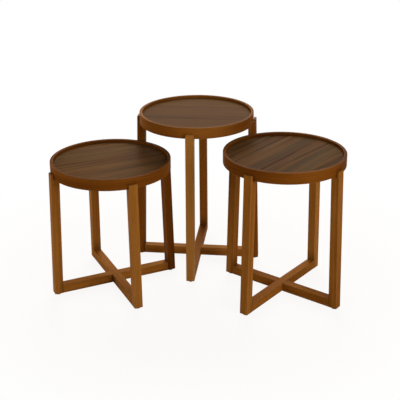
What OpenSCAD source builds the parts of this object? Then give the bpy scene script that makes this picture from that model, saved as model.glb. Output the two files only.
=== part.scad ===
/* [Tops] */
// Outside diameter of every round top
top_d = 400; // [360:1:440]
// Height of the rim band
rim_h = 38; // [34:0.5:42]
// Thickness of the rim band
rim_t = 10; // [8:0.5:12]
// Bevel on the long edges of the rim band
rim_ease = 1.5; // [0.5:0.1:2.5]
// Depth of the panel below the upper edge of the rim
panel_recess = 9; // [6:0.5:11]
// Thickness of the panel
panel_t = 12; // [9:0.5:14]
// Gap all round between the panel and the rim
panel_clear = 0.1; // [0.05:0.05:0.3]

/* [Heights] */
// Height of the tall table
tall_h = 557; // [530:1:600]
// Gap between the tall rim and the middle top when that is slid under it
mid_nest_gap = 16; // [4:0.5:30]
// Gap between the middle rim and the low top when that is slid under it
low_nest_gap = 8; // [4:0.5:30]

/* [Legs] */
// Width of a leg, along the rim
leg_w = 28.5; // [24:0.5:34]
// Depth of a leg, from its outer to its inner face
leg_d = 28.5; // [26:0.5:34]
// Distance from the rim out to the outer face of a leg, at the top
leg_overhang = 8.8; // [7:0.1:11]
// Angle by which a leg leans out towards the floor
leg_splay = 1.6; // [0:0.1:3]
// Bevel on the long edges of a leg or a stretcher
leg_ease = 1.2; // [0.5:0.1:2.5]
// Bevel on the top outer edge of a leg
leg_top_ease = 2.5; // [1:0.1:3.5]

/* [Leg slots] */
// Gap between the rim and the outer tongue of a leg, at its middle
slot_clear_out = 2.4; // [0.3:0.1:2.6]
// Gap between the rim and the corners of the inner tongue
slot_clear_in = 0.4; // [0.2:0.1:1]
// Gap between the lower edge of the rim and the floor of the slot
slot_clear_under = 3; // [0.3:0.1:4]

/* [Stretchers] */
// Width of a crossed stretcher
stretcher_w = 28.5; // [22:0.5:34]
// Height of a crossed stretcher
stretcher_h = 30; // [26:0.5:40]
// Gap on each side of the crossing lap
lap_clear = 0.1; // [0.05:0.05:0.3]

/* [Dowels] */
// Diameter of a stretcher dowel
dowel_d = 8; // [5:0.5:9]
// Length of dowel inside the leg
dowel_in_leg = 16; // [10:0.5:20]
// Length of dowel inside the stretcher
dowel_in_stretcher = 20; // [12:0.5:30]
// Distance between the two dowels of a joint
dowel_pitch = 13; // [10.5:0.5:14]
// Glue gap round a dowel
dowel_clear = 0.1; // [0.05:0.05:0.2]
// Depth of each dowel hole past the dowel
dowel_end_gap = 0.8; // [0.3:0.1:0.9]

/* [Screws] */
// Diameter of a screw shank
screw_d = 4; // [3:0.1:4.5]
// Diameter of a screw head
screw_head_d = 7.6; // [6.5:0.1:8.5]
// Depth of a screw head's cone
screw_head_h = 2.4; // [1.5:0.1:3]
// Depth of a screw head below the surface
screw_sink = 0.5; // [0.2:0.1:0.8]
// Length of a screw's point
screw_point = 4; // [2:0.1:5]
// Wood left between a screw's point and the face beyond it
screw_skin = 3; // [2:0.1:4]
// Gap round a screw in its hole
screw_clear = 0.05; // [0.03:0.01:0.1]
// Gap round a screw where it passes through the rim
rim_hole_clear = 0.3; // [0.1:0.1:0.5]

/* [Glue blocks] */
// Length of a glue block along the rim
block_l = 50; // [30:1:80]
// Width of a glue block under the panel
block_w = 16; // [12:0.5:20]
// Height of a glue block
block_h = 14; // [10:0.5:15]
// Gap between a glue block and the rim
block_clear = 0.1; // [0.05:0.05:0.3]

/* [Glides] */
// Diameter of the round glide under a leg
glide_d = 19; // [14:0.5:22]
// Height of a glide
glide_h = 5; // [4:0.5:7]
// Bevel round the lower edge of a glide
glide_ease = 1.2; // [0.5:0.1:2]
// Diameter of a glide nail
nail_d = 2.4; // [1.8:0.1:3]
// Length of a glide nail inside the leg
nail_in_leg = 15; // [10:0.5:20]
// Diameter of a glide nail's head
nail_head_d = 6; // [4.5:0.1:8]
// Thickness of a glide nail's head
nail_head_h = 1.2; // [0.8:0.1:1.5]
// Depth of the nail head above the glide's lower face
nail_sink = 1.5; // [1:0.1:2]
// Gap round a nail in its hole
nail_clear = 0.05; // [0.03:0.01:0.1]

/* [Layout] */
// Direction of the tall table's right leg
tall_turn = -6.6; // [-12:0.1:0]
// Direction of the low table's right leg
low_turn = 25; // [20:0.1:30]
// Direction of the middle table's right leg
mid_turn = -38; // [-43:0.1:-33]
// Direction from the tall table to the low one
low_bearing = 215.7; // [212:0.1:219]
// Direction from the tall table to the middle one
mid_bearing = -44.2; // [-48:0.1:-41]
// Distance by which the low top reaches under the tall one
low_tuck = 47; // [0:1:70]
// Distance by which the middle top reaches under the tall one
mid_tuck = 3; // [0:1:50]

/* [Hidden] */
$fn = 64;
wood = [0.47, 0.28, 0.11];
dark_wood = [0.33, 0.24, 0.17];
pale_wood = [0.72, 0.58, 0.40];
steel = [0.70, 0.70, 0.72];
black = [0.08, 0.07, 0.06];

mid_h = tall_h - rim_h - mid_nest_gap;
low_h = mid_h - rim_h - low_nest_gap;
top_r = top_d / 2;
rim_in_r = top_r - rim_t;
panel_under_drop = panel_recess + panel_t;
lean = tan(leg_splay);
leg_run = leg_d / cos(leg_splay);
screw_drop = (panel_under_drop + rim_h) / 2;
block_screw_l = block_h + panel_t - screw_sink - screw_skin;
dowel_z = glide_h + stretcher_h / 2;
nail_point = 3;
past = 1;

// A table is its centre, the direction of its right leg and its height
function centre(bearing, tuck) = (top_d - tuck) * [cos(bearing), sin(bearing)];
PLACED = [
    [[0, 0], tall_turn, tall_h],
    [centre(mid_bearing, mid_tuck), mid_turn, mid_h],
    [centre(low_bearing, low_tuck), low_turn, low_h]
];

// Radius of a leg's outer face and inner face at height z of a table h high
function leg_out(h, z) = top_r + leg_overhang + (h - z) * lean;
function leg_in(h, z) = leg_out(h, z) - leg_run;
function turned(p, a) = [p.x * cos(a) - p.y * sin(a), p.x * sin(a) + p.y * cos(a)];

// Outermost points of each table in plan: the corners of its feet and the sides of its rim
function foot_corners(t) = [
    for (k = [0 : 3], s = [-1, 1], e = [0, 1])
        t[0] + turned([leg_out(t[2], glide_h) - e * leg_ease, s * (leg_w / 2 - (1 - e) * leg_ease)], t[1] + 90 * k)
];
function rim_sides(t) = [for (s = [-1, 1]) t[0] + s * [top_r, top_r]];
outermost = [for (t = PLACED, p = concat(foot_corners(t), rim_sides(t))) p];
xs = [for (p = outermost) p.x];
ys = [for (p = outermost) p.y];
middle = [(min(xs) + max(xs)) / 2, (min(ys) + max(ys)) / 2];
TALL = [PLACED[0][0] - middle, PLACED[0][1], PLACED[0][2]];
MID = [PLACED[1][0] - middle, PLACED[1][1], PLACED[1][2]];
LOW = [PLACED[2][0] - middle, PLACED[2][1], PLACED[2][2]];

// Stands its children at a table's place, turned so that +X runs to the right leg
module at_table(t) {
    translate([t[0].x, t[0].y, 0])
        rotate(t[1])
            children();
}

// Repeats its children at the four legs, or midway between them with from = 45
module four_times(from = 0) {
    for (k = [0 : 3])
        rotate(from + 90 * k)
            children();
}

// A rectangle with bevelled corners, from [x0, -w/2] to [x1, w/2]
module bevelled(x0, x1, w, c) {
    y = w / 2;
    polygon([
        [x0 + c, -y], [x1 - c, -y], [x1, -y + c], [x1, y - c],
        [x1 - c, y], [x0 + c, y], [x0, y - c], [x0, -y + c]
    ]);
}

// Extrudes a drawing of radius against height to a width across the leg
module across(w) {
    rotate([90, 0, 0])
        linear_extrude(w, center = true)
            children();
}

// Turns its child from +Z to point out along +X at a radius and height
module outward(r, z) {
    translate([r, 0, z])
        rotate([0, 90, 0])
            children();
}

// A countersunk screw of length l along +Z with the flat of its head at 0
module screw_body(l, grow = 0) {
    rotate_extrude()
        polygon([
            [0, -grow], [screw_head_d / 2 + grow, -grow], [screw_d / 2 + grow, screw_head_h],
            [screw_d / 2 + grow, l - screw_point], [0, l + grow]
        ]);
}

// The screw through a leg's inner tongue and the rim into the outer tongue
function leg_screw_r(h) = leg_in(h, h - screw_drop) + screw_sink;
function leg_screw_l(h) = leg_out(h, h - screw_drop) - screw_skin - leg_screw_r(h);
module leg_screw(h, grow = 0) {
    outward(leg_screw_r(h), h - screw_drop)
        screw_body(leg_screw_l(h), grow);
}

// Two dowels side by side across the joint of a leg and a stretcher
module dowel_pair(h, grow = 0, extra = 0) {
    for (s = [-1, 1])
        translate([0, s * dowel_pitch / 2, 0])
            outward(leg_in(h, dowel_z) - dowel_in_stretcher - extra, dowel_z)
                cylinder(d = dowel_d + 2 * grow, h = dowel_in_leg + dowel_in_stretcher + 2 * extra);
}

// The nail that holds a glide: a flat head and a shank with a point
function glide_r(h) = (leg_out(h, glide_h) + leg_in(h, glide_h)) / 2;
module nail_body(h, grow = 0) {
    top = glide_h + nail_in_leg;
    translate([glide_r(h), 0, 0])
        rotate_extrude()
            polygon([
                [0, nail_sink - grow], [nail_head_d / 2 + grow, nail_sink - grow],
                [nail_head_d / 2 + grow, nail_sink + nail_head_h],
                [nail_d / 2 + grow, nail_sink + nail_head_h],
                [nail_d / 2 + grow, top - nail_point], [0, top + grow]
            ]);
}

module rim(t) {
    h = t[2];
    z0 = h - rim_h;
    e = rim_ease;
    color(wood)
        at_table(t)
            difference() {
                rotate_extrude($fn = 128)
                    polygon([
                        [rim_in_r, z0 + e], [rim_in_r + e, z0], [top_r - e, z0], [top_r, z0 + e],
                        [top_r, h - e], [top_r - e, h], [rim_in_r + e, h], [rim_in_r, h - e]
                    ]);
                four_times()
                    outward(rim_in_r - past, h - screw_drop)
                        cylinder(d = screw_d + 2 * rim_hole_clear, h = rim_t + 2 * past);
            }
}

module panel(t) {
    h = t[2];
    color(dark_wood)
        at_table(t)
            difference() {
                translate([0, 0, h - panel_under_drop])
                    cylinder(r = rim_in_r - panel_clear, h = panel_t, $fn = 128);
                four_times(45)
                    block_screw(h, screw_clear);
            }
}

// A full-length leg: a leaning square stick, cut level and slotted for the rim
module leg(t, k) {
    h = t[2];
    top_z = h - panel_under_drop;
    slot_z = h - rim_h - slot_clear_under;
    slot_r0 = sqrt(rim_in_r * rim_in_r - leg_w * leg_w / 4) - slot_clear_in;
    slot_r1 = top_r + slot_clear_out;
    far_out = leg_out(h, 0) + past;
    far_in = leg_in(h, h) - past;
    edge_r = leg_out(h, top_z) - leg_top_ease;
    color(wood)
        at_table(t)
            rotate(90 * k)
                difference() {
                    intersection() {
                        translate([leg_out(h, h), 0, h])
                            rotate([0, -leg_splay, 0])
                                translate([0, 0, -h / cos(leg_splay) - leg_d])
                                    linear_extrude(h / cos(leg_splay) + leg_d)
                                        bevelled(-leg_d, 0, leg_w, leg_ease);
                        across(leg_w + 2 * past)
                            polygon([
                                [far_in, glide_h], [far_out, glide_h], [far_out, top_z + edge_r - far_out],
                                [edge_r, top_z], [slot_r1, top_z], [slot_r1, slot_z],
                                [slot_r0, slot_z], [slot_r0, top_z], [far_in, top_z]
                            ]);
                    }
                    leg_screw(h, screw_clear);
                    outward(leg_in(h, h) - past, h - screw_drop)
                        cylinder(d = screw_head_d + 2 * screw_clear, h = leg_screw_r(h) - leg_in(h, h) + past);
                    dowel_pair(h, dowel_clear, dowel_end_gap);
                    nail_body(h, nail_clear);
                }
}

// One of the two crossed stretchers, with half its height cut away at the crossing
module stretcher(t, k, cut_z) {
    h = t[2];
    z1 = glide_h + stretcher_h;
    lap_z = glide_h + cut_z * stretcher_h / 2;
    lap_w = stretcher_w + 2 * lap_clear;
    color(wood)
        at_table(t)
            rotate(90 * k)
                difference() {
                    intersection() {
                        across(stretcher_w + 2 * past)
                            polygon([
                                [-leg_in(h, glide_h), glide_h], [leg_in(h, glide_h), glide_h],
                                [leg_in(h, z1), z1], [-leg_in(h, z1), z1]
                            ]);
                        translate([-leg_in(h, 0), 0, 0])
                            rotate([90, 0, 90])
                                linear_extrude(2 * leg_in(h, 0))
                                    translate([0, dowel_z])
                                        rotate(90)
                                            bevelled(-stretcher_h / 2, stretcher_h / 2, stretcher_w, leg_ease);
                    }
                    translate([-lap_w / 2, -lap_w, lap_z - (1 - cut_z) * past])
                        cube([lap_w, 2 * lap_w, stretcher_h / 2 + past]);
                    for (a = [0, 180])
                        rotate(a)
                            dowel_pair(h, dowel_clear, dowel_end_gap);
                }
}

module stretcher_under(t) {
    stretcher(t, 0, 1);
}

module stretcher_over(t) {
    stretcher(t, 1, 0);
}

module dowels(t) {
    color(pale_wood)
        at_table(t)
            four_times()
                dowel_pair(t[2]);
}

module leg_screws(t) {
    color(steel)
        at_table(t)
            four_times()
                leg_screw(t[2]);
}

// The screw up through a glue block into the panel
module block_screw(h, grow = 0) {
    translate([rim_in_r - block_w / 2, 0, h - panel_under_drop - block_h + screw_sink])
        screw_body(block_screw_l, grow);
}

// Four blocks in the corner of the panel and the rim, midway between the legs
module glue_blocks(t) {
    h = t[2];
    z0 = h - panel_under_drop - block_h;
    color(pale_wood)
        at_table(t)
            four_times(45)
                difference() {
                    intersection() {
                        translate([rim_in_r - block_w, -block_l / 2, z0])
                            cube([block_w, block_l, block_h]);
                        translate([0, 0, z0 - past])
                            cylinder(r = rim_in_r - block_clear, h = block_h + 2 * past, $fn = 128);
                    }
                    block_screw(h, screw_clear);
                    translate([rim_in_r - block_w / 2, 0, z0 - past])
                        cylinder(d = screw_head_d + 2 * screw_clear, h = screw_sink + past);
                }
}

module block_screws(t) {
    color(steel)
        at_table(t)
            four_times(45)
                block_screw(t[2]);
}

module glides(t) {
    e = glide_ease;
    color(black)
        at_table(t)
            four_times()
                difference() {
                    translate([glide_r(t[2]), 0, 0])
                        rotate_extrude()
                            polygon([
                                [0, 0], [glide_d / 2 - e, 0], [glide_d / 2, e],
                                [glide_d / 2, glide_h], [0, glide_h]
                            ]);
                    nail_body(t[2], nail_clear);
                    translate([glide_r(t[2]), 0, -past])
                        cylinder(d = nail_head_d + 2 * nail_clear, h = nail_sink + past);
                }
}

module glide_nails(t) {
    color(steel)
        at_table(t)
            four_times()
                nail_body(t[2]);
}

rim(TALL);  // tall_rim
panel(TALL);  // tall_panel
leg(TALL, 0);  // tall_leg_right
leg(TALL, 1);  // tall_leg_back
leg(TALL, 2);  // tall_leg_left
leg(TALL, 3);  // tall_leg_front
stretcher_under(TALL);  // tall_stretcher_under
stretcher_over(TALL);  // tall_stretcher_over
dowels(TALL);  // tall_dowels
leg_screws(TALL);  // tall_leg_screws
glue_blocks(TALL);  // tall_glue_blocks
block_screws(TALL);  // tall_block_screws
glides(TALL);  // tall_glides
glide_nails(TALL);  // tall_glide_nails
rim(MID);  // mid_rim
panel(MID);  // mid_panel
leg(MID, 0);  // mid_leg_right
leg(MID, 1);  // mid_leg_back
leg(MID, 2);  // mid_leg_left
leg(MID, 3);  // mid_leg_front
stretcher_under(MID);  // mid_stretcher_under
stretcher_over(MID);  // mid_stretcher_over
dowels(MID);  // mid_dowels
leg_screws(MID);  // mid_leg_screws
glue_blocks(MID);  // mid_glue_blocks
block_screws(MID);  // mid_block_screws
glides(MID);  // mid_glides
glide_nails(MID);  // mid_glide_nails
rim(LOW);  // low_rim
panel(LOW);  // low_panel
leg(LOW, 0);  // low_leg_right
leg(LOW, 1);  // low_leg_back
leg(LOW, 2);  // low_leg_left
leg(LOW, 3);  // low_leg_front
stretcher_under(LOW);  // low_stretcher_under
stretcher_over(LOW);  // low_stretcher_over
dowels(LOW);  // low_dowels
leg_screws(LOW);  // low_leg_screws
glue_blocks(LOW);  // low_glue_blocks
block_screws(LOW);  // low_block_screws
glides(LOW);  // low_glides
glide_nails(LOW);  // low_glide_nails
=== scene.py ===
import math
import random

import bmesh
import bpy
from mathutils import Matrix, Vector


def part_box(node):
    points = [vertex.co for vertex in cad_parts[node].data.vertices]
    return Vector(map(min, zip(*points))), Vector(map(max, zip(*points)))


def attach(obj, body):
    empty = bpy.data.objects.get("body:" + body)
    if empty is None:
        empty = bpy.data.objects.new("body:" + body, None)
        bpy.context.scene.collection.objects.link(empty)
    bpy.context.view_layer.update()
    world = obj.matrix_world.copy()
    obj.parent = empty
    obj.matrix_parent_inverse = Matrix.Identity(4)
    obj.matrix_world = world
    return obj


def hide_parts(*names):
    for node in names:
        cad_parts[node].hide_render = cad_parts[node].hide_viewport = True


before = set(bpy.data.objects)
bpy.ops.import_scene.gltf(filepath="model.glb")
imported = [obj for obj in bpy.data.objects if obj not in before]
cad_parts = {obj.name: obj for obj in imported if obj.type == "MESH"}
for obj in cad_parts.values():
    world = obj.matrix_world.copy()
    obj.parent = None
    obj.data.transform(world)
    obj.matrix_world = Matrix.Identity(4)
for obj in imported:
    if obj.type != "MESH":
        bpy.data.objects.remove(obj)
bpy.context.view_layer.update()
print("frame loaded:", len(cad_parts), "nodes")

# Every table follows one design; lengths are in metres and angles in degrees
design = {
    "topRadius": 0.2, "rimHeight": 0.038, "rimWall": 0.010, "rimEase": 0.0015,
    "panelRecess": 0.009, "panelThick": 0.012, "panelGap": 0.0001,
    "legWidth": 0.0285, "legDepth": 0.0285, "legOverhang": 0.0088, "legSplay": 1.6, "glideHeight": 0.005,
}
tables = {
    "tall": {"height": 0.557, "turn": -6.6},
    "mid": {"height": 0.503, "turn": -38.0},
    "low": {"height": 0.457, "turn": 25.0},
}
legNames = ["right", "back", "left", "front"]
lean = math.tan(math.radians(design["legSplay"]))
legRun = design["legDepth"] / math.cos(math.radians(design["legSplay"]))
rimInner = design["topRadius"] - design["rimWall"]
panelUnder = design["panelRecess"] + design["panelThick"]


def legOut(height, z):
    return design["topRadius"] + design["legOverhang"] + (height - z) * lean


def legIn(height, z):
    return legOut(height, z) - legRun


for tableName, table in tables.items():
    lowest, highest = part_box(tableName + "_panel")
    centre = (lowest + highest) / 2
    table["centre"] = Vector((centre.x, centre.y, 0))
    table["body"] = tableName + "_table"
    turn = Matrix.Rotation(math.radians(table["turn"]), 4, "Z")
    table["stand"] = Matrix.Translation(table["centre"]) @ turn


# Making meshes

def newObject(name, mesh):
    made = bpy.data.objects.new(name, mesh)
    bpy.context.scene.collection.objects.link(made)
    return made


def meshFrom(name, shape):
    bmesh.ops.recalc_face_normals(shape, faces=shape.faces)
    mesh = bpy.data.meshes.new(name)
    shape.to_mesh(mesh)
    shape.free()
    return mesh


def settle(piece):
    # Makes what the modifiers show the piece's own plain mesh
    graph = bpy.context.evaluated_depsgraph_get()
    shown = piece.evaluated_get(graph)
    mesh = bpy.data.meshes.new_from_object(shown, preserve_all_data_layers=True, depsgraph=graph)
    piece.modifiers.clear()
    piece.data = mesh
    return piece


def smooth(piece, angle=38):
    piece.data.polygons.foreach_set("use_smooth", [True] * len(piece.data.polygons))
    piece.data.set_sharp_from_angle(angle=math.radians(angle))
    even = piece.modifiers.new("evenShading", "WEIGHTED_NORMAL")
    even.keep_sharp = True
    even.weight = 90
    return settle(piece)


def prism(name, outline, width, easing, steps=3):
    # A drawing of (x, z) points made wide along Y. easing(i, j) rounds the edge from point i to point j,
    # and the edge across the width at point i where j is i
    shape = bmesh.new()
    weight = shape.edges.layers.float.new("bevel_weight_edge")
    count = len(outline)
    sides = [[shape.verts.new((x, s * width / 2, z)) for x, z in outline] for s in (-1, 1)]
    index = {v: i for side in sides for i, v in enumerate(side)}
    for i in range(count):
        j = (i + 1) % count
        shape.faces.new((sides[0][i], sides[0][j], sides[1][j], sides[1][i]))
    for side in sides:
        shape.faces.new(side)
    most = max(easing(i, j) for i in range(count) for j in (i, (i + 1) % count))
    for edge in shape.edges:
        i, j = (index[v] for v in edge.verts)
        edge[weight] = (easing(i, j) if (i + 1) % count == j or i == j else easing(j, i)) / most
    piece = newObject(name, meshFrom(name, shape))
    bevel = piece.modifiers.new("easedEdges", "BEVEL")
    bevel.limit_method = "WEIGHT"
    bevel.width = most
    bevel.segments = steps
    return settle(piece)


def turned(name, outline, steps, closed=False):
    # A drawing of (radius, height) points turned about Z; it starts and ends on the axis unless it is closed
    shape = bmesh.new()
    rings = []
    for radius, z in outline:
        angles = [2 * math.pi * k / steps for k in range(steps if radius > 0 else 1)]
        rings.append([shape.verts.new((radius * math.cos(a), radius * math.sin(a), z)) for a in angles])
    for lower, upper in list(zip(rings, rings[1:])) + ([(rings[-1], rings[0])] if closed else []):
        for k in range(steps):
            around = [lower[k % len(lower)], lower[(k + 1) % len(lower)],
                      upper[(k + 1) % len(upper)], upper[k % len(upper)]]
            shape.faces.new(list(dict.fromkeys(around)))
    return newObject(name, meshFrom(name, shape))


def arc(x, z, radius, start, end, count):
    angles = [math.radians(start + (end - start) * k / count) for k in range(count + 1)]
    return [(x + radius * math.cos(a), z + radius * math.sin(a)) for a in angles]


def cut(piece, cutter):
    # Takes the cutter's shape out of the piece
    hole = piece.modifiers.new("hole", "BOOLEAN")
    hole.operation = "DIFFERENCE"
    hole.solver = "EXACT"
    hole.object = cutter
    settle(piece)
    bpy.data.objects.remove(cutter)
    return piece


def markWood(piece, toBoard, shift, tone=1.0):
    # Writes at each point where it lies in its board, where in the log that was, and how pale it is; on rims
    # and legs that paleness is part stain and part painted light and shade
    mesh = piece.data
    inBoard = mesh.attributes.new("woodPlace", "FLOAT_VECTOR", "POINT")
    inBoard.data.foreach_set("vector", [c for v in mesh.vertices for c in toBoard @ v.co])
    sawn = mesh.attributes.new("woodShift", "FLOAT_VECTOR", "POINT")
    sawn.data.foreach_set("vector", list(shift) * len(mesh.vertices))
    level = mesh.attributes.new("woodTone", "FLOAT", "POINT")
    level.data.foreach_set("value", [tone(v.co) if callable(tone) else tone for v in mesh.vertices])
    return piece


chance = random.Random(41)
logValues = {"length": 9, "beside": (0.03, 0.06), "above": (-0.03, 0.03), "veneerWidth": 3}


def fromLog():
    # Where in its log a board was sawn, measured from the heart
    along = chance.uniform(0, logValues["length"])
    side = chance.choice((-1, 1))
    return along, side * chance.uniform(*logValues["beside"]), chance.uniform(*logValues["above"])


# Writing node trees

class Wire:
    # One value on its way through a node tree. A sum written with it adds the nodes that work it out
    def __init__(self, tree, socket=None):
        self.tree = tree
        self.socket = socket

    @staticmethod
    def pick(sockets, key):
        if isinstance(key, int):
            return sockets[key]
        return ([s for s in sockets if s.identifier == key] or [s for s in sockets if s.name == key])[0]

    def node(self, kind, settings=None, values=None, out=0):
        made = self.tree.nodes.new(kind)
        for key, value in (settings or {}).items():
            if key == "stops":
                for spot, colour in value[2:]:
                    made.color_ramp.elements.new(spot)
                for element, (spot, colour) in zip(made.color_ramp.elements, value):
                    element.position, element.color = spot, colour
            else:
                setattr(made, key, value)
        for key, value in (values or {}).items():
            socket = self.pick(made.inputs, key)
            if isinstance(value, Wire):
                self.tree.links.new(value.socket, socket)
            else:
                socket.default_value = value
        return Wire(self.tree, self.pick(made.outputs, out) if len(made.outputs) else None)

    def also(self, name):
        return Wire(self.tree, self.pick(self.socket.node.outputs, name))

    def math(self, operation, *values):
        return self.node("ShaderNodeMath", {"operation": operation}, dict(enumerate(values)))

    def __add__(self, value):
        return self.math("ADD", self, value)

    def __sub__(self, value):
        return self.math("SUBTRACT", self, value)

    def __mul__(self, value):
        return self.math("MULTIPLY", self, value)

    def __truediv__(self, value):
        return self.math("DIVIDE", self, value)

    def __pow__(self, value):
        return self.math("POWER", self, value)

    def __radd__(self, value):
        return self.math("ADD", value, self)

    def __rsub__(self, value):
        return self.math("SUBTRACT", value, self)

    def __rmul__(self, value):
        return self.math("MULTIPLY", value, self)

    def __rtruediv__(self, value):
        return self.math("DIVIDE", value, self)

    def __abs__(self):
        return self.math("ABSOLUTE", self)

    def rise(self, start, end):
        # 0 up to start, 1 from end, smooth between
        return self.node("ShaderNodeMapRange", {"interpolation_type": "SMOOTHSTEP"},
                         {"Value": self, "From Min": start, "From Max": end})

    def noise(self, stretch, detail, roughness):
        spread = self.node("ShaderNodeVectorMath", {"operation": "MULTIPLY"}, {0: self, 1: stretch})
        return self.node("ShaderNodeTexNoise", {}, {
            "Vector": spread, "Scale": 1.0, "Detail": detail, "Roughness": roughness})

    def ramp(self, stops):
        return self.node("ShaderNodeValToRGB", {"stops": stops}, {"Fac": self})

    def scaled(self, amount):
        return self.node("ShaderNodeVectorMath", {"operation": "SCALE"}, {"Vector": self, "Scale": amount})

    def between(self, first, second):
        # This value says how much of the second colour shows over the first
        return self.node("ShaderNodeMix", {"data_type": "RGBA"},
                         {"Factor_Float": self, "A_Color": first, "B_Color": second}, "Result_Color")


def shade(red, green, blue):
    # A colour as a screen shows it, 0 to 255, made linear
    return tuple(((c / 255 + 0.055) / 1.055) ** 2.4 for c in (red, green, blue)) + (1.0,)


def startMaterial(name):
    material = bpy.data.materials.new(name)
    material.use_nodes = True
    material.node_tree.nodes.clear()
    return material, Wire(material.node_tree)


def finishMaterial(wire, surface):
    wire.node("ShaderNodeOutputMaterial", {}, {"Surface": surface})


def fromAttribute(wire):
    return wire.node("ShaderNodeAttribute", {"attribute_name": "woodPlace"}, out="Vector")


def fromObject(wire):
    return wire.node("ShaderNodeTexCoord", out="Object")


def relief(wire, look, height):
    return wire.node("ShaderNodeBump", {}, {
        "Strength": look["relief"], "Distance": look["reliefDepth"], "Height": height})


# Frame wood: mid-brown stained hardwood under a satin lacquer
frameWoodLook = {
    "stops": [(0.0, shade(58, 23, 3)), (0.2, shade(88, 44, 8)), (0.4, shade(114, 63, 15)),
              (0.6, shade(138, 84, 28)), (0.8, shade(158, 104, 45)), (1.0, shade(176, 124, 62))],
    "ringWidth": 0.0055, "ringSway": 1.6, "ringRise": (0.35, 0.92), "ringDepth": 0.12,
    "lateRise": (0.36, 0.62), "poreRise": (0.60, 0.70), "poreDepth": 0.3,
    "broadSpread": 0.4, "fibreSpread": 0.24,
    "wornColour": shade(148, 112, 66), "wear": 0.32, "wearFrom": 0.0022, "wearFull": 0.0003,
    "wearLeast": 0.55, "wearSpread": 0.9,
    "roughness": 0.44, "roughFibre": 0.16, "roughPore": 0.12, "smoothWear": 0.05, "shine": 0.003,
    "relief": 0.35, "reliefDepth": 0.00012, "reliefFibre": 0.5, "reliefRing": 0.25, "paintedJointShade": 0,
}
# Legs: glossier, with painted shade low on the inner face, around and just over the stretchers
legWoodLook = {**frameWoodLook, "shine": 0.006, "paintedJointShade": 0.38, "paintedJointShadeFull": 0.034, "paintedJointShadeTo": 0.085}
# How fine each part of the frame wood's figure is along, across and through the board, per metre,
# then its noise's detail and roughness
frameGrain = {
    "broad": ((2.1, 26, 26), 3, 0.5), "fibre": ((8, 420, 420), 4, 0.62), "pores": ((26, 1300, 1300), 2, 0.5),
    "ringSway": ((1.3, 60, 60), 3, 0.5), "late": ((3, 70, 70), 2, 0.5), "wear": ((30, 60, 60), 2, 0.5),
}


def boardPlace(wire, bentRadius=None):
    # Along, across and through the board; a bent band is measured along its middle line
    inBoard = fromAttribute(wire)
    x = inBoard.node("ShaderNodeSeparateXYZ", {}, {"Vector": inBoard})
    y, z = x.also("Y"), x.also("Z")
    if bentRadius:
        return y.math("ARCTAN2", y, x) * bentRadius, z, (x * x + y * y) ** 0.5 - bentRadius
    return x, y, z


def frameWood(name, look, halfWidth, halfDepth, bentRadius=None):
    material, wire = startMaterial(name)
    along, across, through = boardPlace(wire, bentRadius)
    shift = wire.node("ShaderNodeAttribute", {"attribute_name": "woodShift"}, out="Vector")
    tone = wire.node("ShaderNodeAttribute", {"attribute_name": "woodTone"}, out="Fac")
    local = wire.node("ShaderNodeCombineXYZ", {}, {"X": along, "Y": across, "Z": through})
    spot = wire.node("ShaderNodeVectorMath", {"operation": "ADD"}, {0: local, 1: shift})
    heart = spot.node("ShaderNodeSeparateXYZ", {}, {"Vector": spot})
    y, z = heart.also("Y"), heart.also("Z")
    broad = spot.noise(*frameGrain["broad"])
    fibre = spot.noise(*frameGrain["fibre"])
    pores = spot.noise(*frameGrain["pores"]).rise(*look["poreRise"])
    sway = spot.noise(*frameGrain["ringSway"]) - 0.5
    rings = (y * y + z * z) ** 0.5 / look["ringWidth"] + sway * look["ringSway"]
    phase = rings.math("FRACT", rings)
    late = phase.rise(*look["ringRise"]) * (1 - phase.rise(look["ringRise"][1], 1.0))
    late = late * spot.noise(*frameGrain["late"]).rise(*look["lateRise"])
    # Worn where both faces of an edge are near, more in some places than in others
    worn = (abs(across).rise(halfWidth - look["wearFrom"], halfWidth - look["wearFull"])
            * abs(through).rise(halfDepth - look["wearFrom"], halfDepth - look["wearFull"]))
    worn = worn * (look["wearLeast"] + spot.noise(*frameGrain["wear"]) * look["wearSpread"])
    level = tone + (broad - 0.5) * look["broadSpread"] + (fibre - 0.5) * look["fibreSpread"]
    level = level - late * look["ringDepth"]
    colour = (worn * look["wear"]).between(level.ramp(look["stops"]), look["wornColour"])
    colour = colour.scaled(1 - pores * look["poreDepth"])
    # Painted shade: the leg darkens towards its inner face in its lowest part, where the stretchers meet it
    if look["paintedJointShade"]:
        low = 1 - along.rise(look["paintedJointShadeFull"], look["paintedJointShadeTo"])
        colour = colour.scaled(1 - low * (1 - through.rise(-halfDepth, 0)) * look["paintedJointShade"])
    roughness = look["roughness"] + (fibre - 0.5) * look["roughFibre"] + pores * look["roughPore"]
    roughness = roughness - worn * look["smoothWear"]
    height = fibre * look["reliefFibre"] - pores - late * look["reliefRing"]
    surface = wire.node("ShaderNodeBsdfPrincipled", {}, {
        "Base Color": colour, "Roughness": roughness, "Specular IOR Level": look["shine"],
        "Normal": relief(wire, look, height)})
    finishMaterial(wire, surface)
    return material


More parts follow.
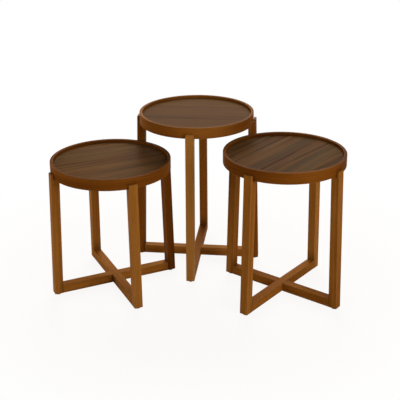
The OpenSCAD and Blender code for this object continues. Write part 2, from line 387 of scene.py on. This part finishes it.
# Panel wood: dark brown veneer with straight streaks under the same lacquer
panelWoodLook = {
    "stops": [(0.2, shade(46, 27, 12)), (0.5, shade(94, 63, 33)), (0.82, shade(120, 84, 45))], "level": 0.52,
    "grey": shade(78, 62, 39), "greyRise": (0.5, 0.68), "greyShare": 0.7,
    "lineRise": (0.56, 0.66), "lineDepth": 0.16, "lineShade": 0.25, "sway": 0.03,
    "fibreSpread": 0.25, "poreRise": (0.59, 0.68), "poreDepth": 0.4,
    "roughness": 0.38, "roughStreak": 0.14, "roughPore": 0.1, "shine": 0.0008,
    "relief": 0.3, "reliefDepth": 0.0001, "reliefFibre": 0.5,
}
panelGrain = {
    "sway": ((2.2, 6, 6), 2, 0.5), "band": ((1.0, 26, 26), 3, 0.55), "streak": ((2.6, 120, 120), 4, 0.65),
    "fibre": ((9, 600, 600), 3, 0.6), "line": ((1.4, 75, 75), 2, 0.5), "grey": ((0.8, 20, 20), 2, 0.5),
    "pores": ((34, 1500, 1500), 2, 0.5),
}


def panelWood(name, look, bands, streaks, lines):
    material, wire = startMaterial(name)
    along, across = boardPlace(wire)[:2]
    shift = wire.node("ShaderNodeAttribute", {"attribute_name": "woodShift"}, out="Vector")
    tone = wire.node("ShaderNodeAttribute", {"attribute_name": "woodTone"}, out="Fac")
    local = wire.node("ShaderNodeCombineXYZ", {}, {"X": along, "Y": across})
    spot = wire.node("ShaderNodeVectorMath", {"operation": "ADD"}, {0: local, 1: shift})
    sway = spot.noise(*panelGrain["sway"]) - 0.5
    bent = wire.node("ShaderNodeCombineXYZ", {}, {"Y": sway * look["sway"]})
    spot = wire.node("ShaderNodeVectorMath", {"operation": "ADD"}, {0: spot, 1: bent})
    band = spot.noise(*panelGrain["band"])
    streak = spot.noise(*panelGrain["streak"])
    fibre = spot.noise(*panelGrain["fibre"])
    line = spot.noise(*panelGrain["line"]).rise(*look["lineRise"]) * lines
    grey = spot.noise(*panelGrain["grey"]).rise(*look["greyRise"])
    pores = spot.noise(*panelGrain["pores"]).rise(*look["poreRise"])
    level = look["level"] + (band - 0.5) * bands + (streak - 0.5) * streaks
    level = level + (fibre - 0.5) * look["fibreSpread"] - line * look["lineDepth"]
    colour = (grey * bands * look["greyShare"]).between(level.ramp(look["stops"]), look["grey"])
    colour = colour.scaled(tone * (1 - pores * look["poreDepth"]) * (1 - line * look["lineShade"]))
    roughness = look["roughness"] + (streak - 0.5) * look["roughStreak"] + pores * look["roughPore"]
    surface = wire.node("ShaderNodeBsdfPrincipled", {}, {
        "Base Color": colour, "Roughness": roughness, "Specular IOR Level": look["shine"],
        "Normal": relief(wire, look, fibre * look["reliefFibre"] - pores)})
    finishMaterial(wire, surface)
    return material


# Pale wood of the glue blocks and dowels, steel of the screws and nails, plastic of the glides
innerWoodLook = {
    "stops": [(0.3, shade(160, 122, 80)), (0.7, shade(214, 182, 138))],
    "fibre": ((10, 380, 380), 4, 0.6), "broad": ((4, 60, 60), 3, 0.5), "fibreShare": 0.55,
    "roughness": 0.62, "roughFibre": 0.2, "shine": 0.3, "relief": 0.4, "reliefDepth": 0.00015,
}
steelLook = {
    "stops": [(0.3, (0.34, 0.34, 0.35, 1)), (0.65, (0.66, 0.66, 0.66, 1))],
    "cloud": ((700, 700, 700), 4, 0.6), "scratch": ((200, 200, 3000), 3, 0.6),
    "roughness": 0.34, "roughScratch": 0.3, "relief": 0.2, "reliefDepth": 0.00005,
}
glideLook = {
    "stops": [(0.0, shade(16, 13, 11)), (1.0, shade(36, 30, 26))],
    "grain": ((1800, 1800, 1800), 3, 0.6), "dust": ((160, 160, 160), 4, 0.6),
    "dustRise": (0.35, 0.75), "dustShare": 0.8,
    "roughness": 0.55, "roughDust": 0.3, "shine": 0.4, "relief": 0.25, "reliefDepth": 0.00008,
}


def innerWood(name, look, spot):
    material, wire = startMaterial(name)
    spot = spot(wire)
    fibre = spot.noise(*look["fibre"])
    broad = spot.noise(*look["broad"])
    level = fibre * look["fibreShare"] + broad * (1 - look["fibreShare"])
    surface = wire.node("ShaderNodeBsdfPrincipled", {}, {
        "Base Color": level.ramp(look["stops"]), "Specular IOR Level": look["shine"],
        "Roughness": look["roughness"] + (fibre - 0.5) * look["roughFibre"],
        "Normal": relief(wire, look, fibre)})
    finishMaterial(wire, surface)
    return material


def platedSteel(name, look):
    material, wire = startMaterial(name)
    spot = fromObject(wire)
    cloud = spot.noise(*look["cloud"])
    scratch = spot.noise(*look["scratch"])
    surface = wire.node("ShaderNodeBsdfPrincipled", {}, {
        "Base Color": cloud.ramp(look["stops"]), "Metallic": 1.0,
        "Roughness": look["roughness"] + (scratch - 0.5) * look["roughScratch"],
        "Normal": relief(wire, look, scratch)})
    finishMaterial(wire, surface)
    return material


def mouldedPlastic(name, look):
    material, wire = startMaterial(name)
    spot = fromObject(wire)
    grain = spot.noise(*look["grain"])
    dust = spot.noise(*look["dust"])
    level = dust.rise(*look["dustRise"]) * look["dustShare"]
    surface = wire.node("ShaderNodeBsdfPrincipled", {}, {
        "Base Color": level.ramp(look["stops"]), "Specular IOR Level": look["shine"],
        "Roughness": look["roughness"] + (dust - 0.5) * look["roughDust"],
        "Normal": relief(wire, look, grain)})
    finishMaterial(wire, surface)
    return material


midRimRadius = design["topRadius"] - design["rimWall"] / 2
rimWood = frameWood("rimWood", frameWoodLook, design["rimHeight"] / 2, design["rimWall"] / 2, midRimRadius)
legWood = frameWood("legWood", legWoodLook, design["legWidth"] / 2, design["legDepth"] / 2)
blockWood = innerWood("blockWood", innerWoodLook, fromAttribute)
dowelWood = innerWood("dowelWood", innerWoodLook, fromObject)
steel = platedSteel("platedSteel", steelLook)
plastic = mouldedPlastic("mouldedPlastic", glideLook)
print("shared materials made")


# Geometry Nodes: a tree with named inputs, set on a modifier by the sockets' identifiers

def newTree(name, inputs):
    tree = bpy.data.node_groups.new(name, "GeometryNodeTree")
    tree.interface.new_socket("Geometry", in_out="OUTPUT", socket_type="NodeSocketGeometry")
    for label, kind in inputs:
        tree.interface.new_socket(label, in_out="INPUT", socket_type="NodeSocket" + kind)
    return tree, Wire(tree).node("NodeGroupInput")


def endTree(shape, material):
    real = shape.node("GeometryNodeRealizeInstances", {}, {"Geometry": shape})
    painted = real.node("GeometryNodeSetMaterial", {}, {"Geometry": real, "Material": material})
    painted.node("NodeGroupOutput", {}, {0: painted})


def grow(name, tree, values):
    piece = newObject(name, bpy.data.meshes.new(name))
    modifier = piece.modifiers.new(tree.name, "NODES")
    modifier.node_group = tree
    for item in tree.interface.items_tree:
        if item.in_out == "INPUT":
            modifier[item.identifier] = values[item.name]
    return settle(piece)


def bandTree():
    # A band bent to a ring, with eased edges, its lower edge at height 0
    tree, given = newTree("bentBand", [
        ("Radius", "Float"), ("Wall", "Float"), ("Height", "Float"), ("Ease", "Float"),
        ("Ease steps", "Int"), ("Steps", "Int"), ("Material", "Material")])
    radius, wall, height = given.also("Radius"), given.also("Wall"), given.also("Height")
    ring = given.node("GeometryNodeCurvePrimitiveCircle", {}, {
        "Resolution": given.also("Steps"), "Radius": radius - wall / 2})
    section = given.node("GeometryNodeCurvePrimitiveQuadrilateral", {}, {"Width": wall, "Height": height})
    eased = given.node("GeometryNodeFilletCurve", {"mode": "POLY"}, {
        "Curve": section, "Limit Radius": True, "Radius": given.also("Ease"),
        "Count": given.also("Ease steps")})
    band = given.node("GeometryNodeCurveToMesh", {}, {"Curve": ring, "Profile Curve": eased})
    lift = given.node("ShaderNodeCombineXYZ", {}, {"Z": height / 2})
    lifted = given.node("GeometryNodeTransform", {}, {"Geometry": band, "Translation": lift})
    endTree(lifted, given.also("Material"))
    return tree


def roundTree():
    # Repeats a part evenly round a table's upright axis
    tree, given = newTree("roundTheTable", [
        ("Part", "Object"), ("Count", "Int"), ("Centre", "Vector"),
        ("First angle", "Float"), ("Material", "Material")])
    count = given.also("Count")
    points = given.node("GeometryNodeMeshLine", {}, {
        "Count": count, "Start Location": given.also("Centre"), "Offset": (0.0, 0.0, 0.0)})
    part = given.node("GeometryNodeObjectInfo", {}, {"Object": given.also("Part")}, "Geometry")
    angle = given.node("GeometryNodeInputIndex") * (2 * math.pi) / count + given.also("First angle")
    turn = given.node("ShaderNodeCombineXYZ", {}, {"Z": angle})
    ring = given.node("GeometryNodeInstanceOnPoints", {}, {
        "Points": points, "Instance": part, "Rotation": turn})
    endTree(ring, given.also("Material"))
    return tree


bentBand = bandTree()
roundTheTable = roundTree()
print("node trees made")


def place(piece, table, slot, material, *nodes):
    # Gives a finished piece its table and the CAD nodes that it stands for
    if material:
        piece.data.materials.clear()
        piece.data.materials.append(material)
    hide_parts(*nodes)
    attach(piece, table["body"])
    return piece


# Rims. A bent band's tone swings between paler and darker, part stain and part painted front light:
# this many times round, by this much, and palest at this angle, which faces the front where the light falls
rimValues = {
    "steps": 160, "easeSteps": 4,
    "tall": {"tone": 0.49, "drifts": 4, "drift": 0.07, "paintedLightAt": 282},
    "mid": {"tone": 0.32, "drifts": 3, "drift": 0.09, "paintedLightAt": 288},
    "low": {"tone": 0.34, "drifts": 5, "drift": 0.03, "paintedLightAt": 285},
}


def makeRim(tableName, table):
    values = rimValues[tableName]
    rim = grow(tableName + "RimBand", bentBand, {
        "Radius": design["topRadius"], "Wall": design["rimWall"], "Height": design["rimHeight"],
        "Ease": design["rimEase"], "Ease steps": rimValues["easeSteps"], "Steps": rimValues["steps"],
        "Material": rimWood})
    smooth(rim)

    # Part stain, part painted light: the swing is turned so that it is palest toward the front
    def drift(point):
        angle = math.atan2(point.y, point.x) + math.radians(table["turn"] - values["paintedLightAt"])
        return values["tone"] + values["drift"] * math.cos(values["drifts"] * angle)

    # The band's ends meet behind the back leg
    toBoard = Matrix.Rotation(math.radians(90), 4, "Z") @ Matrix.Translation((0, 0, -design["rimHeight"] / 2))
    markWood(rim, toBoard, fromLog(), drift)
    lift = Matrix.Translation((0, 0, table["height"] - design["rimHeight"]))
    rim.data.transform(table["stand"] @ lift)
    place(rim, table, "frame_wood", rimWood, tableName + "_rim")


# Panels; grain runs along the right and left legs, or across them by the angle given.
# Bands, streaks and lines say how strongly each of them shows
panelValues = {
    "steps": 128, "ease": 0.002, "easeSteps": 3, "innerRing": 0.5,
    "tall": {"grain": 0, "bands": 0.35, "streaks": 0.6, "lines": 0.35, "tone": 1.02},
    "mid": {"grain": 90, "bands": 0.95, "streaks": 0.75, "lines": 1.0, "tone": 1.0},
    "low": {"grain": 0, "bands": 0.5, "streaks": 0.65, "lines": 0.6, "tone": 1.15},
}


def makePanel(tableName, table):
    values = panelValues[tableName]
    radius, ease, steps = rimInner - design["panelGap"], panelValues["ease"], panelValues["easeSteps"]
    inner = radius * panelValues["innerRing"]
    top = table["height"] - design["panelRecess"]
    under = top - design["panelThick"]
    outline = [(0, under), (inner, under)] + arc(radius - ease, under + ease, ease, -90, 0, steps)
    outline += arc(radius - ease, top - ease, ease, 0, 90, steps) + [(inner, top), (0, top)]
    panel = smooth(turned(tableName + "TopPanel", outline, panelValues["steps"]))
    toBoard = Matrix.Rotation(math.radians(-values["grain"]), 4, "Z")
    inVeneer = (chance.uniform(0, logValues["length"]), chance.uniform(0, logValues["veneerWidth"]), 0.0)
    markWood(panel, toBoard, inVeneer, values["tone"])
    panel.data.transform(table["stand"])
    wood = panelWood(tableName + "PanelWood", panelWoodLook,
                     values["bands"], values["streaks"], values["lines"])
    place(panel, table, "panel_wood", wood, tableName + "_panel")


# Legs, each slotted at the top for the rim
legValues = {
    "ease": 0.0013, "topEase": 0.0025, "slotEase": 0.0004, "footEase": 0.0007,
    "slotClearOut": 0.0012, "slotClearIn": 0.0004, "slotClearUnder": 0.003, "boreDepth": 0.012,
    # Each leg's tone, right, back, left, front: part its own stain, part painted light and shade from how
    # each leg is lit
    "tone": {
        "tall": (0.47, 0.56, 0.47, 0.79),
        "mid": (0.56, 0.72, 0.58, 0.57),
        "low": (0.34, 0.62, 0.62, 0.70),
    },
}
screwValues = {
    "shank": 0.004, "head": 0.0076, "headDepth": 0.0024, "sink": 0.0005, "point": 0.004, "skin": 0.003,
    "crossWidth": 0.0011, "crossReach": 0.0044, "crossDepth": 0.0016, "crossEase": 0.00005,
    "bladeAbove": 0.001, "clear": 0.00005, "boreLead": 0.002,
    "steps": 32, "boreSteps": 24, "mergeWithin": 0.000002,
}
screwDrop = (panelUnder + design["rimHeight"]) / 2
lyingAlongX = Matrix.Rotation(math.radians(90), 4, "Y")


def screwOutline(length, clear=0.0, lead=0.0):
    # Half a countersunk screw along +Z, the flat of its head at 0; lead runs the head on below 0
    head, shank = screwValues["head"] / 2 + clear, screwValues["shank"] / 2 + clear
    points = [(0, -lead), (head, -lead)] + ([(head, 0)] if lead else [])
    points += [(shank, screwValues["headDepth"]), (shank, length - screwValues["point"])]
    return points + [(0, length + clear)]


def makeBore(length):
    # The cutter for a screw's hole, with the screw's clearance
    outline = screwOutline(length, screwValues["clear"], screwValues["boreLead"])
    return turned("bore", outline, screwValues["boreSteps"])


def makeLeg(tableName, table, index):
    height = table["height"]
    foot, top = design["glideHeight"], table["height"] - panelUnder
    slotFloor = height - design["rimHeight"] - legValues["slotClearUnder"]
    slotIn = math.sqrt(rimInner ** 2 - (design["legWidth"] / 2) ** 2) - legValues["slotClearIn"]
    slotOut = design["topRadius"] + legValues["slotClearOut"]
    outline = [
        (legIn(height, foot), foot), (legOut(height, foot), foot), (legOut(height, top), top), (slotOut, top),
        (slotOut, slotFloor), (slotIn, slotFloor), (slotIn, top), (legIn(height, top), top)]

    # Easing across the width at each of the outline's points, and along the edges that start at some
    footEase, slotEase = legValues["footEase"], legValues["slotEase"]
    across = [footEase, footEase, legValues["topEase"], slotEase, 0.0, 0.0, slotEase, slotEase]
    along = {0: footEase, 3: slotEase, 4: 0.0, 5: slotEase}

    def easing(i, j):
        return across[i] if i == j else along.get(i, legValues["ease"])

    leg = prism(tableName + "Leg" + legNames[index].title(), outline, design["legWidth"], easing)
    level = height - screwDrop
    start = legIn(height, level) + screwValues["sink"]
    bore = makeBore(legValues["boreDepth"])
    bore.data.transform(Matrix.Translation((start, 0, level)) @ lyingAlongX)
    smooth(cut(leg, bore))
    splay = math.radians(design["legSplay"])
    up = Vector((-math.sin(splay), 0, math.cos(splay)))
    out = Vector((math.cos(splay), 0, math.sin(splay)))
    heart = Vector((legOut(height, 0) - legRun / 2, 0, 0))
    toBoard = Matrix((up, (0, 1, 0), out)).to_4x4() @ Matrix.Translation(-heart)
    markWood(leg, toBoard, fromLog(), legValues["tone"][tableName][index])
    leg.data.transform(table["stand"] @ Matrix.Rotation(math.radians(90 * index), 4, "Z"))
    place(leg, table, "frame_wood", legWood, f"{tableName}_leg_{legNames[index]}")


# Stretchers, halved into each other where they cross
railValues = {
    "width": 0.0285, "height": 0.030, "lapGap": 0.0001, "ease": 0.0013, "lapEase": 0.0003,
    "tone": {"tall": (0.70, 0.52), "mid": (0.52, 0.56), "low": (0.60, 0.60)},
}
railWood = frameWood("railWood", frameWoodLook, railValues["width"] / 2, railValues["height"] / 2)


def makeRail(tableName, table, index):
    # long lists the points that start the outline's lengthwise edges
    height = table["height"]
    bottom = design["glideHeight"]
    top = bottom + railValues["height"]
    lap, halved = railValues["width"] / 2 + railValues["lapGap"], bottom + railValues["height"] / 2
    low, high = legIn(height, bottom), legIn(height, top)
    if index == 0:
        outline = [(-low, bottom), (low, bottom), (high, top), (lap, top),
                   (lap, halved), (-lap, halved), (-lap, top), (-high, top)]
        long = (0, 2, 6)
    else:
        outline = [(-low, bottom), (-lap, bottom), (-lap, halved), (lap, halved),
                   (lap, bottom), (low, bottom), (high, top), (-high, top)]
        long = (0, 4, 6)

    def easing(i, j):
        return railValues["ease"] if i != j and i in long else railValues["lapEase"]

    rail = smooth(prism(tableName + ("LowerRail", "UpperRail")[index], outline, railValues["width"], easing))
    toBoard = Matrix.Translation((0, 0, -halved))
    markWood(rail, toBoard, fromLog(), railValues["tone"][tableName][index])
    rail.data.transform(table["stand"] @ Matrix.Rotation(math.radians(90 * index), 4, "Z"))
    place(rail, table, "frame_wood", railWood, f"{tableName}_stretcher_{('under', 'over')[index]}")


# Screws, glue blocks and glides go four to a table
def makeScrew(name, length):
    screw = turned(name, screwOutline(length), screwValues["steps"])
    wide, reach, deep = (screwValues[k] for k in ("crossWidth", "crossReach", "crossDepth"))
    above = screwValues["bladeAbove"]
    bladeOutline = [(-reach / 2, -above), (reach / 2, -above), (wide / 2, deep), (-wide / 2, deep)]
    for angle in (0, 90):
        blade = prism("blade", bladeOutline, wide, lambda i, j: screwValues["crossEase"], 1)
        blade.data.transform(Matrix.Rotation(math.radians(angle), 4, "Z"))
        cut(screw, blade)
    # The two blades' cuts share corners, which the second cut leaves doubled
    shape = bmesh.new()
    shape.from_mesh(screw.data)
    bmesh.ops.remove_doubles(shape, verts=shape.verts, dist=screwValues["mergeWithin"])
    shape.to_mesh(screw.data)
    shape.free()
    return screw


blockValues = {
    "length": 0.050, "width": 0.016, "height": 0.014, "gap": 0.0001, "ease": 0.0008, "boreDepth": 0.016,
    "first": 45, "curveSteps": 6, "easeSteps": 2,
}
glideValues = {
    "radius": 0.0095, "ease": 0.0012, "groove": 0.0003, "grooveHeight": 0.0035,
    "nailHead": 0.003, "nailHeadThick": 0.0012, "nailShank": 0.0012, "nailSink": 0.0015,
    "clear": 0.00005, "mouthEase": 0.0003, "steps": 40, "easeSteps": 4,
}


def repeat(name, part, table, first, material, slot, *nodes):
    smooth(part)
    ring = grow(name, roundTheTable, {
        "Part": part, "Count": len(legNames), "Centre": table["centre"],
        "First angle": math.radians(table["turn"] + first), "Material": material})
    bpy.data.objects.remove(part)
    smooth(ring)
    place(ring, table, slot, None, *nodes)


def makeHardware(tableName, table):
    height = table["height"]
    level = height - screwDrop
    start = legIn(height, level) + screwValues["sink"]
    screw = makeScrew("screw", legOut(height, level) - screwValues["skin"] - start)
    screw.data.transform(Matrix.Translation((start, 0, level)) @ lyingAlongX)
    repeat(tableName + "LegScrewSet", screw, table, 0, steel, "screw_steel", tableName + "_leg_screws")

    under = height - panelUnder - blockValues["height"]
    inner, half = rimInner - blockValues["width"], blockValues["length"] / 2
    atBore = Matrix.Translation((rimInner - blockValues["width"] / 2, 0, under + screwValues["sink"]))
    length = blockValues["height"] + design["panelThick"] - screwValues["sink"] - screwValues["skin"]
    blockScrew = makeScrew("screw", length)
    blockScrew.data.transform(atBore)
    repeat(tableName + "BlockScrewSet", blockScrew, table, blockValues["first"], steel,
           "screw_steel", tableName + "_block_screws")

    reach = rimInner - blockValues["gap"]
    spread = math.degrees(math.asin(half / reach))
    plan = [(inner, half), (inner, -half)] + arc(0, 0, reach, -spread, spread, blockValues["curveSteps"])

    def easing(i, j):
        return blockValues["ease"] if i in (0, 1) and j in (0, 1) else blockValues["ease"] / 2

    block = prism("block", plan, blockValues["height"], easing, blockValues["easeSteps"])
    middle = Matrix.Translation((0, 0, under + blockValues["height"] / 2))
    block.data.transform(middle @ Matrix.Rotation(math.radians(90), 4, "X"))
    bore = makeBore(blockValues["boreDepth"])
    bore.data.transform(atBore)
    cut(block, bore)
    toBoard = Matrix.Translation((0, 0, -under)) @ Matrix.Rotation(math.radians(-90), 4, "Z")
    markWood(block, toBoard, fromLog())
    repeat(tableName + "GlueBlockSet", block, table, blockValues["first"], blockWood,
           "inner_wood", tableName + "_glue_blocks")

    radius, ease, groove = glideValues["radius"], glideValues["ease"], glideValues["groove"]
    grooveHeight, mouthEase = glideValues["grooveHeight"], glideValues["mouthEase"]
    head = glideValues["nailHead"] + glideValues["clear"]
    shank = glideValues["nailShank"] + glideValues["clear"]
    headTop, top = glideValues["nailSink"] + glideValues["nailHeadThick"], design["glideHeight"]
    outline = [(shank, top), (radius, top), (radius, grooveHeight + groove),
               (radius - groove, grooveHeight), (radius, grooveHeight - groove)]
    outline += arc(radius - ease, ease, ease, 0, -90, glideValues["easeSteps"])
    outline += [(head + mouthEase, 0), (head, mouthEase), (head, headTop), (shank, headTop)]
    glide = turned("glide", outline, glideValues["steps"], closed=True)
    glide.data.transform(Matrix.Translation(((legOut(height, top) + legIn(height, top)) / 2, 0, 0)))
    repeat(tableName + "GlideSet", glide, table, 0, plastic, "glide_plastic", tableName + "_glides")


for tableName, table in tables.items():
    makeRim(tableName, table)
    makePanel(tableName, table)
    for index in range(4):
        makeLeg(tableName, table, index)
    for index in range(2):
        makeRail(tableName, table, index)
    makeHardware(tableName, table)
    for part, material in (("dowels", dowelWood), ("glide_nails", steel)):
        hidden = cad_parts[f"{tableName}_{part}"]
        for holder in hidden.material_slots:
            holder.material = material
    print(tableName, "table made")


# The studio: pale floor, white surround, soft lamps
studioValues = {
    "surround": 0.07, "floorRadius": 30.0, "floorSides": 64, "floorColour": (0.82, 0.77, 0.71, 1),
    "floorWhite": 0.92, "nearPaintedWarmShade": (1, 0.99, 0.976, 1), "whiteFrom": 0.45, "whiteAll": 1.1,
    "lamps": [
        {"name": "behind", "from": (0.1, 3.1, 2.4), "at": (0, 0, 0.45), "size": 2.4, "power": 136},
        {"name": "behindLow", "from": (0.1, 3.3, 1.7), "at": (0, 0, 0.45), "size": 2.0, "power": 54},
        {"name": "frontRight", "from": (1.7, -2.4, 2.2), "at": (0, 0, 0.35), "size": 1.8, "power": 31},
        {"name": "frontLow", "from": (1.9, -2.7, 1.1), "at": (0, 0, 0.35), "size": 1.8, "power": 43},
        {"name": "left", "from": (-3.4, -0.4, 0.9), "at": (0, 0, 0.35), "size": 1.8, "power": 52},
    ],
}


def whiteShare(wire):
    # 1 for what the camera sees itself, in a mirror or through glass
    seen = wire.node("ShaderNodeLightPath", out="Is Camera Ray")
    mirrored = seen.math("MAXIMUM", seen, seen.also("Is Glossy Ray"))
    return seen.math("MAXIMUM", mirrored, seen.also("Is Transmission Ray"))


def makeStudio(values):
    world = bpy.data.worlds.new("studioSurround")
    world.use_nodes = True
    world.node_tree.nodes.clear()
    wire = Wire(world.node_tree)
    level = values["surround"] + whiteShare(wire) * (1 - values["surround"])
    surround = wire.node("ShaderNodeBackground", {}, {"Color": (1, 1, 1, 1), "Strength": level})
    wire.node("ShaderNodeOutputWorld", {}, {"Surface": surround})
    bpy.context.scene.world = world

    material, wire = startMaterial("floorPaint")
    # Pure white further out; near the tables a little warm matt paint that takes their shadow, and a glow
    # warmed a little as painted warm shade
    spot = fromObject(wire)
    away = spot.node("ShaderNodeVectorMath", {"operation": "LENGTH"}, {0: spot}, "Value")
    near = 1 - away.rise(values["whiteFrom"], values["whiteAll"])
    share = whiteShare(wire) * (1 - near * (1 - values["floorWhite"]))
    matt = wire.node("ShaderNodeBsdfDiffuse", {}, {"Color": values["floorColour"]})
    # Painted shade: near the tables the white glow is tinted warm
    shadeWarmedGlow = near.between((1, 1, 1, 1), values["nearPaintedWarmShade"])
    glow = wire.node("ShaderNodeEmission", {}, {"Color": shadeWarmedGlow, "Strength": 1.0})
    finishMaterial(wire, wire.node("ShaderNodeMixShader", {}, {0: share, 1: matt, 2: glow}))
    shape = bmesh.new()
    bmesh.ops.create_circle(shape, cap_ends=True, segments=values["floorSides"], radius=values["floorRadius"])
    floor = newObject("studioFloor", meshFrom("studioFloor", shape))
    floor.data.materials.append(material)

    for lamp in values["lamps"]:
        light = bpy.data.lights.new(lamp["name"], "AREA")
        light.size, light.energy = lamp["size"], lamp["power"]
        holder = newObject(lamp["name"], light)
        holder.location = lamp["from"]
        holder.visible_camera = False
        aim = Vector(lamp["at"]) - Vector(lamp["from"])
        holder.rotation_euler = aim.to_track_quat("-Z", "Y").to_euler()


cameraValues = {
    "at": (0.0148, -2.8515, 1.4662), "tiltDown": 20.334, "roll": -0.375,
    "lens": 79.915, "sensor": 36, "shift": -0.0936, "nearest": 0.05, "furthest": 100,
}


def makeCamera(values):
    camera = bpy.data.cameras.new("studioCamera")
    camera.lens, camera.sensor_width = values["lens"], values["sensor"]
    camera.shift_y = values["shift"]
    camera.clip_start, camera.clip_end = values["nearest"], values["furthest"]
    holder = newObject("studioCamera", camera)
    tilt = Matrix.Rotation(math.radians(90 - values["tiltDown"]), 4, "X")
    roll = Matrix.Rotation(math.radians(values["roll"]), 4, "Z")
    holder.matrix_world = Matrix.Translation(values["at"]) @ tilt @ roll
    bpy.context.scene.camera = holder


makeStudio(studioValues)
makeCamera(cameraValues)
bpy.context.scene.view_settings.view_transform = "Standard"
print("studio made")
